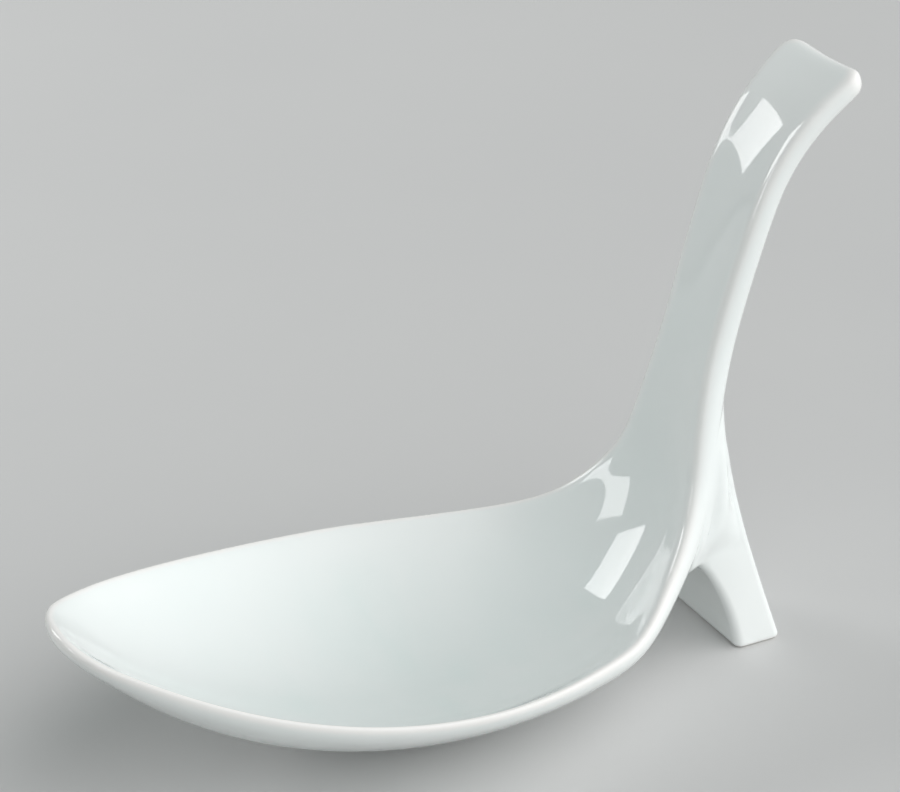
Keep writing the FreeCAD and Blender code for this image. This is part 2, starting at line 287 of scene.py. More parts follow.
def spread(start, stop, count):
    """Evenly spaced places after start, the last of them at stop."""
    return np.linspace(start, stop, count + 1)[1:]


# along a round end the places follow its turn in degrees, closer together at the outside
TIP_TURNS = [6, 12, 19, 27, 36, 46]
CORNER_TURNS = [20, 38, 54, 67, 77]
tip_places = tip_radius * (1 - np.cos(np.radians(TIP_TURNS)))
corner_places = corner_start + end_corner * np.sin(np.radians(CORNER_TURNS))
places = np.concatenate([
    tip_places,
    spread(tip_places[-1], widest, 9),
    spread(widest, neck_start, 6),
    spread(neck_start, handle_start, 9),
    spread(handle_start, curl_start, 8),
    spread(curl_start, corner_start, 5),
    corner_places,
])
tip_x, tip_z, tip_slope = rim_line(0.0)
tip = np.array([tip_x + rim_radius * math.sin(tip_slope), 0.0,
                tip_z - rim_radius * math.cos(tip_slope)])
net = np.concatenate([np.tile(tip, (1, len(RING), 1)), section(places)])
print("control points:", net.shape)


# %% The cubic surface over them
def clamped_weights(count, at):
    """Weights of each control point of an open cubic curve, for parameters in 0..count - 3.

    Built up by the recursion that blends two curves of one degree less, over knots that
    are whole numbers, of which the first and the last stand there four times.
    """
    knots = np.concatenate([[0.0] * 3, np.arange(count - 2), [count - 3.0] * 3])
    at = np.minimum(np.asarray(at, float), count - 3 - 1e-9)[:, None]
    weights = ((knots[:-1] <= at) & (at < knots[1:])).astype(float)
    for degree in (1, 2, 3):
        span = knots[degree:] - knots[:-degree]
        inverse = np.where(span > 0, 1.0 / np.where(span > 0, span, 1.0), 0.0)
        rise = (at - knots[:-degree]) * inverse
        fall = (knots[degree + 1:] - at) * inverse[1:]
        weights = rise[:, :-1] * weights[:, :-1] + fall * weights[:, 1:]
    return weights


def ring_weights(count, at):
    """The same for a closed cubic curve, where each place is a mix of four control points."""
    at = np.asarray(at, float)
    first = np.floor(at).astype(int)
    part = at - first
    shares = np.stack([(1 - part) ** 3, 3 * part ** 3 - 6 * part ** 2 + 4,
                       -3 * part ** 3 + 3 * part ** 2 + 3 * part + 1, part ** 3]) / 6
    weights = np.zeros((len(at), count))
    rows = np.arange(len(at))
    for offset in range(4):
        np.add.at(weights, (rows, (first + offset) % count), shares[offset])
    return weights


ROWS_PER_SPAN = 8
POINTS_PER_SPAN = 5
spans = len(net) - 3
skin_grid = np.einsum(
    "ui,vj,ijk->uvk",
    clamped_weights(len(net), np.linspace(0, spans, spans * ROWS_PER_SPAN + 1)[1:]),
    ring_weights(len(RING), np.arange(len(RING) * POINTS_PER_SPAN) / POINTS_PER_SPAN), net)
# the lowest point stands on the table, and the tip at the end of the solid model's box
lift = -skin_grid[..., 2].min()
shift = cad_box[0].x - skin_grid[..., 0].min()
print("lift %.3f mm, shift %.3f mm" % (lift / MM, shift / MM))


# %% Turn a grid of points into a closed mesh
def closed_tube(grid):
    """Points and faces of a grid of rings, with a fan of triangles over both its ends."""
    rows, columns = grid.shape[:2]
    points = np.concatenate([grid.reshape(-1, 3), grid[0].mean(0)[None], grid[-1].mean(0)[None]])
    index = np.arange(rows * columns).reshape(rows, columns)
    after = np.roll(index, -1, axis=1)
    sides = np.stack([index[:-1], after[:-1], after[1:], index[1:]], axis=-1).reshape(-1, 4)
    middle = np.full(columns, rows * columns)
    start_fan = np.stack([after[0], index[0], middle], axis=-1)
    end_fan = np.stack([index[-1], after[-1], middle + 1], axis=-1)
    return points, sides.tolist() + start_fan.tolist() + end_fan.tolist()


def make_piece(name, points, faces):
    """A smooth mesh object from an array of points and a list of faces."""
    mesh = bpy.data.meshes.new(name)
    mesh.from_pydata(points.tolist(), [], faces)
    mesh.update()
    mesh.shade_smooth()
    piece = bpy.data.objects.new(name, mesh)
    bpy.context.scene.collection.objects.link(piece)
    return piece


skin_grid += np.array([shift, 0.0, lift])
skin_points, skin_faces = closed_tube(skin_grid)
skin = make_piece("skin_shape", skin_points, skin_faces)
print("skin:", len(skin_faces), "faces")

# %% [markdown]
# ## The foot
#
# The foot is a slab that leans back from under the neck.  Seen from the side, its front is
# an arc that turns into the top of the arch, and its back is straight, then an arc that
# runs into the back of the handle.  Rings join the two, each a rectangle with round
# corners, and all of them above the arch end inside the wall of the neck.  A box with
# bevelled edges would be quicker, but its back would meet the handle in a step.

# %% Sizes of the foot
foot_length = 8.8 * MM
foot_offset = 10.8 * MM
front_lean = math.radians(8.0)
front_radius = 37.0 * MM
back_lean = math.radians(18.5)
root_reach = 31.0 * MM
root_inset = 1.0 * MM
front_corner = 1.5 * MM
foot_edge = 1.0 * MM
arch_height = 18.9 * MM
arch_radius = 2.5 * MM
print("foot: %.1f mm long at the table, arch %.1f mm high" % (foot_length / MM, arch_height / MM))


# %% Lines in side view
def in_wall(place, depth):
    """X and Z on the centre line, at a depth under the spoon's inner face."""
    x, z, slope = rim_line(place)
    level = hollow(np.asarray(place, float)) + depth
    return np.stack([x + level * np.sin(slope) + shift, z - level * np.cos(slope) + lift], -1)


def arc_points(centre, radius, start, stop, count):
    """Points of an arc in side view, at even angles."""
    turn = np.linspace(start, stop, count)
    return np.asarray(centre) + radius * np.stack([np.cos(turn), np.sin(turn)], -1)


def along(points, count):
    """Points at even steps along a polyline."""
    reach = np.concatenate([[0.0], np.cumsum(np.linalg.norm(np.diff(points, axis=0), axis=1))])
    at = np.linspace(0.0, reach[-1], count)
    return np.stack([np.interp(at, reach, points[:, 0]), np.interp(at, reach, points[:, 1])], -1)


def cross(first, second):
    """First X times second Z less first Z times second X: 0 for parallel directions."""
    return first[0] * second[1] - first[1] * second[0]


print("middle of the neck: x %.1f, z %.1f mm" % tuple(in_wall(neck_middle, 0.0) / MM))

# %% The front of the foot, up to the top of the arch
LINE_POINTS, ARCH_POINTS = 60, 30
foot_front = np.array([rim_line(handle_start)[0] + foot_offset + shift, 0.0])
foot_back = foot_front + np.array([foot_length, 0.0])
front_centre = foot_front - front_radius * np.array([math.cos(front_lean), math.sin(front_lean)])
arch_turn = math.asin((arch_height - arch_radius - front_centre[1])
                      / (front_radius - arch_radius))
arch_centre = front_centre + (front_radius - arch_radius) * np.array(
    [math.cos(arch_turn), math.sin(arch_turn)])
front_path = arc_points(front_centre, front_radius, front_lean, arch_turn, LINE_POINTS)
arch_path = arc_points(arch_centre, arch_radius, arch_turn, math.pi / 2, ARCH_POINTS)
print("arch turns at %.1f mm" % (arch_path[0, 1] / MM))

# %% The back of the foot, up to its root in the handle
BACK_POINTS = 120
root_place = handle_start + root_reach
root = in_wall(root_place, wall(root_place) - root_inset)
root_slope = float(rim_line(root_place)[2])
back_turn = back_lean + math.pi / 2 - root_slope
up_back = np.array([-math.sin(back_lean), math.cos(back_lean)])
up_handle = np.array([math.cos(root_slope), math.sin(root_slope)])
crossing = foot_back + up_back * cross(root - foot_back, up_handle) / cross(up_back, up_handle)
tangent = np.linalg.norm(root - crossing)
knee = crossing - up_back * tangent
back_radius = tangent / math.tan(back_turn / 2)
back_centre = knee + back_radius * np.array([math.cos(back_lean), math.sin(back_lean)])
back_start = math.pi + back_lean
back_path = np.concatenate([
    np.linspace(foot_back, knee, LINE_POINTS),
    arc_points(back_centre, back_radius, back_start, back_start - back_turn, BACK_POINTS)])
print("knee at %.1f mm, back radius %.1f mm" % (knee[1] / MM, back_radius / MM))

# %% The hidden front of the foot, inside the wall of the neck
WALL_SHARE = 0.75
INNER_POINTS = 200
inner_places = np.linspace(neck_start, root_place, INNER_POINTS)
inner_path = in_wall(inner_places, WALL_SHARE * wall(inner_places))
inner_path = inner_path[inner_path[:, 1] > arch_height]
print("hidden front: %.1f to %.1f mm high" % (inner_path[0, 1] / MM, inner_path[-1, 1] / MM))

# %% [markdown]
# ## How wide the foot is
#
# Seen from the front, the slab is narrowest a little above the table and widens upwards,
# until its sides lie just under the neck's.  There the glaze carries one surface over
# both.  On the way up its back is a little narrower than its front, so that it grows out
# of the handle's back without an edge.

# %% Half width and rounding at each height
CLEAR_ABOVE = 70.0 * MM
SIDE_BLEND = 2.0 * MM
own_side = smooth_curve([
    (0.0, 10.0 * MM),
    (12.0 * MM, 9.5 * MM),
    (19.0 * MM, 9.9 * MM),
    (24.0 * MM, 11.0 * MM),
    (29.0 * MM, 11.8 * MM),
    (36.0 * MM, 12.2 * MM),
    (CLEAR_ABOVE, 12.2 * MM),
])
back_taper = smooth_curve([
    (0.0, 0.0),
    (12.0 * MM, 0.3 * MM),
    (20.0 * MM, 0.9 * MM),
    (24.0 * MM, 1.8 * MM),
    (28.0 * MM, 2.1 * MM),
    (32.0 * MM, 1.4 * MM),
    (37.0 * MM, 0.4 * MM),
    (43.0 * MM, 0.0),
    (CLEAR_ABOVE, 0.0),
])
under_neck = smooth_curve([
    (0.0, 1.0 * MM),
    (36.0 * MM, 1.0 * MM),
    (42.0 * MM, 1.2 * MM),
    (46.0 * MM, 1.7 * MM),
    (52.0 * MM, 2.8 * MM),
    (CLEAR_ABOVE, 3.6 * MM),
])
back_corner = smooth_curve([
    (0.0, 1.5 * MM),
    (14.0 * MM, 1.5 * MM),
    (32.0 * MM, 1.9 * MM),
    (42.0 * MM, 2.4 * MM),
    (50.0 * MM, 3.4 * MM),
    (CLEAR_ABOVE, 3.6 * MM),
])
print("foot: half width %.1f mm at the table" % (own_side(0.0) / MM))

# %% The foot's sides lie under the neck's
PAST_ROOT = 6.0 * MM
NECK_POINTS = 300
neck_places = np.linspace(neck_start, root_place + PAST_ROOT, NECK_POINTS)
neck_line = in_wall(neck_places, wall(neck_places) / 2)


def place_on_neck(x, z):
    """Place of the nearest point of the middle of the neck's wall, in side view."""
    gap = np.hypot(x[..., None] - neck_line[:, 0], z[..., None] - neck_line[:, 1])
    return neck_places[gap.argmin(-1)]


def side_of_foot(z, place):
    """Half width of the foot: the smooth minimum of its own and a little under the neck's."""
    flush = outline(place) - under_neck(z)
    spare = np.maximum(1.0 - np.abs(own_side(z) - flush) / SIDE_BLEND, 0.0)
    return np.minimum(own_side(z), flush) - spare ** 2 * SIDE_BLEND / 4


def smooth_step(value, low, high):
    """0 up to low, 1 from high on, and a cubic that is level at both ends between them."""
    part = np.clip((value - low) / (high - low), 0.0, 1.0)
    return part * part * (3 - 2 * part)


print("neck: half width %.1f mm at the foot's root" % (outline(root_place) / MM))

# %% [markdown]
# ## Rings round the foot
#
# Each ring starts from a point of the front and a point of the back.  The front is made of
# four lines: the arc, the arch, a short slope up to the wall, and the way inside the wall.
# The back is cut at one height for each of these points, so that the rings tip evenly from
# level at the table to steep inside the handle.

# %% Front and back point of each ring
ROWS = 60
line_rows = (ROWS, ROWS // 2, ROWS // 6, ROWS)
front_lines = (front_path, arch_path, np.array([arch_path[-1], inner_path[0]]), inner_path)
back_heights = (0.0, 17.0 * MM, 20.0 * MM, 21.0 * MM, root[1])


def end_to_end(parts):
    """Rows of several parts, where the row that two of them share is taken once."""
    return np.concatenate([part[:-1] for part in parts[:-1]] + [parts[-1]])


def back_at(height):
    """Points of the foot's back face at given heights."""
    return np.stack([np.interp(height, back_path[:, 1], back_path[:, 0]), height], -1)


front = end_to_end([along(line, rows) for line, rows in zip(front_lines, line_rows)])
back = back_at(end_to_end([
    np.linspace(low, high, rows)
    for low, high, rows in zip(back_heights[:-1], back_heights[1:], line_rows)]))
print("rings:", len(front))

# %% The rounded edge at the table replaces the first rings
EDGE_ROWS = 9
edge_turn = np.radians(np.linspace(0, 90, EDGE_ROWS))
edge_rise = foot_edge * (1 - np.cos(edge_turn))
edge_inset = foot_edge * (1 - np.sin(edge_turn))
above = front[:, 1] > foot_edge
edge_front = np.stack([np.interp(edge_rise, front_path[:, 1], front_path[:, 0]), edge_rise], -1)
front = np.concatenate([edge_front, front[above]])
back = np.concatenate([back_at(edge_rise), back[above]])
inset = np.concatenate([edge_inset, np.zeros(above.sum())])[:, None]
print("rings with the edge:", len(front))

# %% Corners and sides of a ring
CORNER_STEPS = 8
SIDE_STEPS = 24
quarter_turn = np.linspace(0, math.pi / 2, CORNER_STEPS + 1)
run = np.linspace(1, -1, SIDE_STEPS + 2)[1:-1]
ones = np.ones(CORNER_STEPS + 1)
steady = np.ones(SIDE_STEPS)
# corner and side by turns, four of each: the part of the half length and of the half
# width at which each point lies, and how far round the ring its corner has turned
lengthways = np.concatenate([ones, run, -ones, -steady, -ones, -run, ones, steady])
crossways = np.concatenate([ones, steady, ones, run, -ones, -steady, -ones, -run])
turn = np.concatenate([quarter_turn, steady * math.pi / 2, quarter_turn + math.pi / 2,
                       steady * math.pi, quarter_turn + math.pi, steady * math.pi * 1.5,
                       quarter_turn + math.pi * 1.5, steady * math.pi * 2])
print("points in a ring:", len(turn))

# %% The foot as a mesh
LARGEST_ROUNDING = 0.9
CROWN_FROM, CROWN_TO = 28.0 * MM, 44.0 * MM
half_length = np.linalg.norm(back - front, axis=1)[:, None] / 2
direction = (back - front) / (2 * half_length)
middle = (back + front) / 2
share_back = (1 + lengthways) / 2
round_across = share_back * back_corner(middle[:, 1:]) + (1 - share_back) * front_corner - inset
round_by = np.minimum(round_across, LARGEST_ROUNDING * half_length)
out = lengthways * (half_length - inset - round_by) + round_by * np.cos(turn)
foot_x = middle[:, :1] + out * direction[:, :1]
foot_z = middle[:, 1:] + out * direction[:, 1:]
near_place = place_on_neck(foot_x, foot_z)
foot_side = side_of_foot(foot_z, near_place) - share_back ** 2 * back_taper(foot_z)
foot_y = crossways * (foot_side - inset - round_across) + round_across * np.sin(turn)
# inside the wall the foot is crowned as the hollowed wall is
crown = (smooth_step(foot_z, CROWN_FROM, CROWN_TO) * hollow(near_place)
         * (foot_y / outline(near_place)) ** 2)
foot_x = foot_x - crown * direction[:, :1]
foot_z = foot_z - crown * direction[:, 1:]
foot_points, foot_faces = closed_tube(np.stack([foot_x, foot_y, foot_z], -1))
foot = make_piece("foot_shape", foot_points, foot_faces)
print("foot:", len(foot_faces), "faces")

# %% [markdown]
# ## One piece of clay
#
# The two shapes overlap inside the neck, and a real one has no seam there.  A voxel remesh
# turns both into one closed skin of small squares.  It is even but not exact: each corner
# lies a little off the true surface.  So two steps follow.  Geometry nodes measure, for
# every corner at once, the nearest point and normal of each shape, and numpy then moves
# the corner to where the two distances, blended smoothly, come to nothing.  Near the seam
# the corners also slide to the middle of their neighbours, so that no face folds over.

# %% Voxel remesh of the two overlapping shapes
VOXEL = 0.30 * MM


def numbers(collection, field, width):
    """A field of a Blender collection as an array with a row for each item."""
    flat = np.empty(len(collection) * width)
    collection.foreach_get(field, flat)
    return flat.reshape(-1, width)


def evaluated_mesh(piece):
    """The mesh that an object's modifiers make, as a new mesh."""
    graph = bpy.context.evaluated_depsgraph_get()
    return bpy.data.meshes.new_from_object(piece.evaluated_get(graph))


both = make_piece("both_shapes", np.concatenate([skin_points, foot_points]),
                  skin_faces + [[corner + len(skin_points) for corner in face]
                                for face in foot_faces])
remesh = both.modifiers.new("one_skin", "REMESH")
remesh.mode = "VOXEL"
remesh.voxel_size = VOXEL
one_skin = evaluated_mesh(both)
print("one skin:", len(one_skin.vertices), "corners,", len(one_skin.polygons), "faces")

# %% Nodes that measure the way to another shape
measure = bpy.data.node_groups.new("measure_shape", "GeometryNodeTree")
for end in ("INPUT", "OUTPUT"):
    measure.interface.new_socket("Geometry", in_out=end, socket_type="NodeSocketGeometry")
nodes, links = measure.nodes, measure.links
enter, leave = nodes.new("NodeGroupInput"), nodes.new("NodeGroupOutput")
shape_info = nodes.new("GeometryNodeObjectInfo")
near_point = nodes.new("GeometryNodeProximity")
near_normal = nodes.new("GeometryNodeSampleNearestSurface")
near_normal.data_type = "FLOAT_VECTOR"
normal_field = nodes.new("GeometryNodeInputNormal")
links.new(shape_info.outputs["Geometry"], near_point.inputs[0])
links.new(shape_info.outputs["Geometry"], near_normal.inputs["Mesh"])
links.new(normal_field.outputs[0], near_normal.inputs["Value"])
carried = enter.outputs[0]
for name, value in (("near_point", near_point.outputs["Position"]),
                    ("near_normal", near_normal.outputs["Value"])):
    store = nodes.new("GeometryNodeStoreNamedAttribute")
    store.data_type, store.domain = "FLOAT_VECTOR", "POINT"
    store.inputs["Name"].default_value = name
    links.new(carried, store.inputs["Geometry"])
    links.new(value, store.inputs["Value"])
    carried = store.outputs["Geometry"]
links.new(carried, leave.inputs[0])
print("measuring nodes:", len(nodes))

# %% A probe that carries these nodes
probe = bpy.data.objects.new("probe", one_skin)
bpy.context.scene.collection.objects.link(probe)
probe.modifiers.new("measure", "NODES").node_group = measure


def way_to(shape):
    """Signed distance of each corner of the probe from a shape, and the normal there."""
    shape_info.inputs["Object"].default_value = shape
    one_skin.update()
    measured = evaluated_mesh(probe)
    near = numbers(measured.attributes["near_point"].data, "vector", 3)
    normal = numbers(measured.attributes["near_normal"].data, "vector", 3)
    off = numbers(one_skin.vertices, "co", 3) - near
    bpy.data.meshes.remove(measured)
    length = np.linalg.norm(off, axis=1)
    # no corner of the joined skin is deep inside either shape, so a long way is outwards
    side = np.where(length > 2 * VOXEL, 1.0, np.sign((off * normal).sum(1)))
    return side * length, normal / np.linalg.norm(normal, axis=1)[:, None]


print("furthest corner is %.1f mm from the foot" % (way_to(foot)[0].max() / MM))

# %% [markdown]
# ## Glaze in the inner corner
#
# Where two distances are blended instead of just taking the smaller one, the corner
# between the shapes fills with a smooth hollow curve, as glaze fills it.  The wider the
# blend, the fuller the corner: it is widest at the arch and falls to none where the foot
# has run into the back of the handle.

# %% The distance from the glazed joint
LEAST_FILL = 1e-6
FACING_FORWARDS, FACING_SIDEWAYS = -0.8, 0.0
glaze_fill = smooth_curve([
    (20.0 * MM, 6.0 * MM),
    (28.0 * MM, 3.8 * MM),
    (31.0 * MM, 3.8 * MM),
    (47.0 * MM, 0.0),
    (CLEAR_ABOVE, 0.0),
], level_start=True)


def joined(points):
    """Distance of each corner from the glazed joint, the slope there, how filled it is,
    and how much of it belongs to the foot.

    The distance is the smaller of the two, less a quarter of the fill times the square of
    how much of the fill their difference leaves over.  The front of the neck has no fill.
    """
    skin_distance, skin_normal = way_to(skin)
    foot_distance, foot_normal = way_to(foot)
    behind = smooth_step(skin_normal[:, 0], FACING_FORWARDS, FACING_SIDEWAYS)
    fill = np.maximum(glaze_fill(points[:, 2]) * behind, LEAST_FILL)
    spare = np.maximum(1.0 - np.abs(skin_distance - foot_distance) / fill, 0.0)
    share = np.where(skin_distance < foot_distance, spare / 2, 1.0 - spare / 2)[:, None]
    distance = np.minimum(skin_distance, foot_distance) - spare ** 2 * fill / 4
    return distance, (1 - share) * skin_normal + share * foot_normal, spare, share[:, 0]


print("fill at the arch: %.1f mm wide" % (glaze_fill(arch_height) / MM))


# %% The mean of a corner's neighbours
def neighbours_in(mesh):
    """A function that gives the mean of each corner's neighbours, over a mesh's edges."""
    pairs = np.empty(len(mesh.edges) * 2, int)
    mesh.edges.foreach_get("vertices", pairs)
    ends = np.concatenate([pairs[0::2], pairs[1::2]])
    others = np.concatenate([pairs[1::2], pairs[0::2]])
    count = np.bincount(ends, minlength=len(mesh.vertices))[:, None]
    return lambda values: np.stack([np.bincount(ends, values[others, column], len(values))
                                    for column in range(values.shape[1])], axis=-1) / count


mean_of_neighbours = neighbours_in(one_skin)
print("edges:", len(one_skin.edges))

# %% Lay the corners on the joint, and keep them evenly spaced
LAY_STEPS, SLIDE_STEPS = 10, 8
LARGEST_MOVE = 0.5 * MM
SLIDE_SHARE, FULL_SLIDE = 0.7, 0.2
LEAST_STEEPNESS = 0.1
points = numbers(one_skin.vertices, "co", 3)
for step in range(LAY_STEPS):
    distance, slope, spare, _ = joined(points)
    steepness = np.maximum((slope ** 2).sum(1), LEAST_STEEPNESS)
    move = -(distance / steepness)[:, None] * slope
    points += np.clip(move, -LARGEST_MOVE, LARGEST_MOVE)
    if step < SLIDE_STEPS:
        # slide corners along the skin to the middle of their neighbours, in the joint only
        slide = mean_of_neighbours(points) - points
        outward = slope / np.sqrt(steepness)[:, None]
        slide -= (slide * outward).sum(1)[:, None] * outward
        points += SLIDE_SHARE * smooth_step(spare, 0.0, FULL_SLIDE)[:, None] * slide
    one_skin.vertices.foreach_set("co", points.ravel())
    print("step", step, "largest move %.4f mm, mean %.5f mm"
          % (np.abs(move).max() / MM, np.abs(move).mean() / MM))

# %% Even out what is left of the seam
EVEN_STEPS, EVEN_SHARE = 6, 0.5
LOOSE_FROM, LOOSE_TO = 0.05, 0.4
loose = smooth_step(spare, LOOSE_FROM, LOOSE_TO)[:, None]
for step in range(EVEN_STEPS):
    points += EVEN_SHARE * loose * (mean_of_neighbours(points) - points)
one_skin.vertices.foreach_set("co", points.ravel())
print("corners evened:", int((loose > 0).sum()))

# %% [markdown]
# ## Fewer faces, true normals
#
# A flat stretch of porcelain needs few faces, and a rounded edge needs many.  Decimate
# keeps them where the surface bends.  Its long triangles would shade unevenly, so each
# corner takes its normal from the true shapes.  Only in the glazed joint does it come from
# the mesh itself, evened out over the neighbours.

# %% Fewer, larger faces where the surface is flat
TRIANGLES_KEPT = 190_000
thin_out = probe.modifiers.new("thin_out", "DECIMATE")
thin_out.ratio = TRIANGLES_KEPT / (2 * len(one_skin.polygons))
one_skin.update()
probe.modifiers["measure"].show_viewport = False
one_skin = evaluated_mesh(probe)
probe.modifiers.remove(thin_out)
probe.modifiers["measure"].show_viewport = True
probe.data = one_skin
print("faces kept:", len(one_skin.polygons))

# %% The normal of each corner
NORMAL_STEPS = 5
FULL_SEAM = 0.3
points = numbers(one_skin.vertices, "co", 3)
_, slope, spare, of_foot = joined(points)
own_normal = numbers(one_skin.vertex_normals, "vector", 3)
mean_of_neighbours = neighbours_in(one_skin)
even_normal = own_normal
for step in range(NORMAL_STEPS):
    even_normal = (even_normal + mean_of_neighbours(even_normal)) / 2
even_normal = even_normal / np.linalg.norm(even_normal, axis=1)[:, None]
seam = smooth_step(spare, 0.0, FULL_SEAM)[:, None]
normal = seam * even_normal + (1 - seam) * slope
print("corners in the joint:", int((seam > 0).sum()))

# %% [markdown]
# ## How thick the glaze lies, and painted shade in the hollows
#
# Molten glaze draws together in hollows and away from edges.  How far a corner moves when
# the mesh is evened out says how bent the surface is there: a hollow rises and an edge
# sinks.  That number goes into an attribute of the mesh, which the material reads.  In the
# hollows it also carries painted shade: the material colours them darker as well as greener.

# %% Where the glaze lies thick and painted shade falls, and where it draws thin
BEND_STEPS, SOFTEN_STEPS = 24, 12
EVEN_DEPTH = 0.5
SHADE_AND_DEPTH_PER_RISE, DEPTH_PER_FALL = 2.8, 2.0
evened = points
for step in range(BEND_STEPS):
    evened = (evened + mean_of_neighbours(evened)) / 2
bent = ((evened - points) * own_normal).sum(1)[:, None] / MM
for step in range(SOFTEN_STEPS):
    bent = (bent + mean_of_neighbours(bent)) / 2
# the foot's flat sides have no corners in their middle, so its edges aren't marked
thick, thin = np.maximum(bent[:, 0], 0.0), np.minimum(bent[:, 0], 0.0) * (1 - of_foot)
# the rise in a hollow sets both the thicker glaze and the painted shade there
glaze_depth = np.clip(EVEN_DEPTH + SHADE_AND_DEPTH_PER_RISE * thick + DEPTH_PER_FALL * thin, 0.0, 1.0)
one_skin.attributes.new("glaze_depth", "FLOAT", "POINT").data.foreach_set("value", glaze_depth)
print("bend: lowest %.2f mm, middle %.3f mm, highest %.2f mm"
      % (bent.min(), np.median(bent), bent.max()))

# %% The finished mesh
for helper in (skin, foot, both, probe):
    bpy.data.objects.remove(helper)
bpy.data.node_groups.remove(measure)
one_skin.shade_smooth()
one_skin.normals_split_custom_set_from_vertices(normal.tolist())
spoon = bpy.data.objects.new("porcelain_spoon", one_skin)
bpy.context.scene.collection.objects.link(spoon)
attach(spoon, "root")
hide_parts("spoon")
one_skin.calc_loop_triangles()
print("spoon:", len(one_skin.polygons), "faces,", len(one_skin.loop_triangles), "triangles")

# %% [markdown]
# ## Node maths as Python expressions
#
# A material is a small program.  Wrapping a socket in a class with operators lets that
# program be read as sums and products instead of as a list of nodes and links.

# %% A socket that can be added and multiplied
class Value:
    """A socket of a shader tree on which plain arithmetic adds Math nodes."""

    def __init__(self, tree, socket):
        self.tree, self.socket = tree, socket

    def math(self, operation, *values):
        """A Math node on numbers and sockets."""
        return self.tree.add("ShaderNodeMath", {"operation": operation},
                             dict(enumerate(values)))["Value"]

    def __add__(self, other):
        return self.math("ADD", self, other)

    def __radd__(self, other):
        return self.math("ADD", other, self)

    def __sub__(self, other):
        return self.math("SUBTRACT", self, other)

    def __rsub__(self, other):
        return self.math("SUBTRACT", other, self)

    def __mul__(self, other):
        return self.math("MULTIPLY", self, other)

    def __rmul__(self, other):
        return self.math("MULTIPLY", other, self)

    def highest(self, other):
        """The higher of two numbers."""
        return self.math("MAXIMUM", self, other)

    def between(self, low, high):
        """0 below low, 1 above high, and a smooth step from one to the other."""
        return self.tree.add("ShaderNodeMapRange", {"interpolation_type": "SMOOTHSTEP"},
                             {"Value": self, "From Min": low, "From Max": high})["Result"]


# %% A tree with one way to add a node
class Tree:
    """A shader tree, emptied, to which every node is added in the same way."""

    def __init__(self, data):
        self.data = data
        data.nodes.clear()

    def add(self, kind, settings=None, inputs=None):
        """Add a node: its settings first, then values and links of its sockets."""
        node = self.data.nodes.new(kind)
        for name, value in (settings or {}).items():
            setattr(node, name, value)
        for key, value in (inputs or {}).items():
            socket = node.inputs[key]
            if isinstance(value, Value):
                self.data.links.new(value.socket, socket)
            else:
                socket.default_value = value
        return {socket.name: Value(self, socket) for socket in node.outputs if socket.enabled}

    def mix(self, factor, first, second):
        """A colour between two colours."""
        return self.add("ShaderNodeMix", {"data_type": "RGBA"},
                        {0: factor, 6: first, 7: second})["Result"]


# %% [markdown]
# ## The glaze
#
# White porcelain is not white paint: a clear, slightly green glass lies over a cool white
# body.  Where the glass runs together in an inner corner it is thicker and greener, and its
# darker colour there is also painted shade; where it draws thin over an edge the warmer body
# shows.  Its surface is smooth but never flat: it has long, very low waves, and these make
# the edges of reflections swim a little. Only
# where the spoon stands is it bare and matt, or it would stick to the kiln's shelf.

# %% Where the glaze lies, how thick, and where painted shade darkens the hollows
BARE_BELOW, GLAZED_ABOVE = 0.3 * MM, 0.7 * MM
PATCHY_DEPTH = 0.12
glaze = bpy.data.materials.new("porcelain_glaze")
glaze.use_nodes = True
tree = Tree(glaze.node_tree)
place_on_object = tree.add("ShaderNodeTexCoord")["Object"]
waves = tree.add("ShaderNodeTexNoise", inputs={
    "Vector": place_on_object, "Scale": 70.0, "Detail": 1.0, "Roughness": 0.4})["Fac"]
patches = tree.add("ShaderNodeTexNoise", inputs={
    "Vector": place_on_object, "Scale": 28.0, "Detail": 3.0, "Roughness": 0.5})["Fac"]
height = tree.add("ShaderNodeSeparateXYZ", inputs={"Vector": place_on_object})["Z"]
glazed = height.between(BARE_BELOW, GLAZED_ABOVE)
# this number is glaze depth and, in the hollows, painted shade
depth = tree.add("ShaderNodeAttribute", {"attribute_name": "glaze_depth"})["Fac"]
depth = depth + PATCHY_DEPTH * (patches - 0.5)
print("pattern nodes:", len(glaze.node_tree.nodes))

# %% Colours and gloss of the glaze
BARE_ROUGHNESS, GLAZED_ROUGHNESS, PATCHY_ROUGHNESS = 0.64, 0.04, 0.02
# the thick colour is darker than the plain one: partly pooled glaze, partly painted shade
thick_glaze_and_shade_colour = (0.725, 0.84, 0.815, 1)
thin_colour = (0.90, 0.89, 0.87, 1)
plain_colour = tree.mix(patches.between(0.3, 0.7), (0.83, 0.875, 0.865, 1), (0.86, 0.89, 0.88, 1))
bare_colour = tree.mix(patches.between(0.4, 0.6), (0.80, 0.79, 0.76, 1), (0.84, 0.83, 0.80, 1))
# deep in the hollows the colour turns to the darker, greener one: thick glaze and painted shade
body_colour = tree.mix(depth.between(0.55, 0.95), tree.mix(
    depth.between(0.1, 0.42), thin_colour, plain_colour), thick_glaze_and_shade_colour)
bump = tree.add("ShaderNodeBump", inputs={
    "Strength": 0.25, "Distance": 0.0004, "Height": waves})["Normal"]
roughness = BARE_ROUGHNESS - (BARE_ROUGHNESS - GLAZED_ROUGHNESS) * glazed
surface = tree.add("ShaderNodeBsdfPrincipled", inputs={
    "Base Color": tree.mix(glazed, bare_colour, body_colour),
    "Roughness": roughness + PATCHY_ROUGHNESS * patches,
    "IOR": 1.52,
    "Normal": bump})["BSDF"]
tree.add("ShaderNodeOutputMaterial", inputs={"Surface": surface})
one_skin.materials.append(glaze)
print("glaze nodes:", len(glaze.node_tree.nodes))

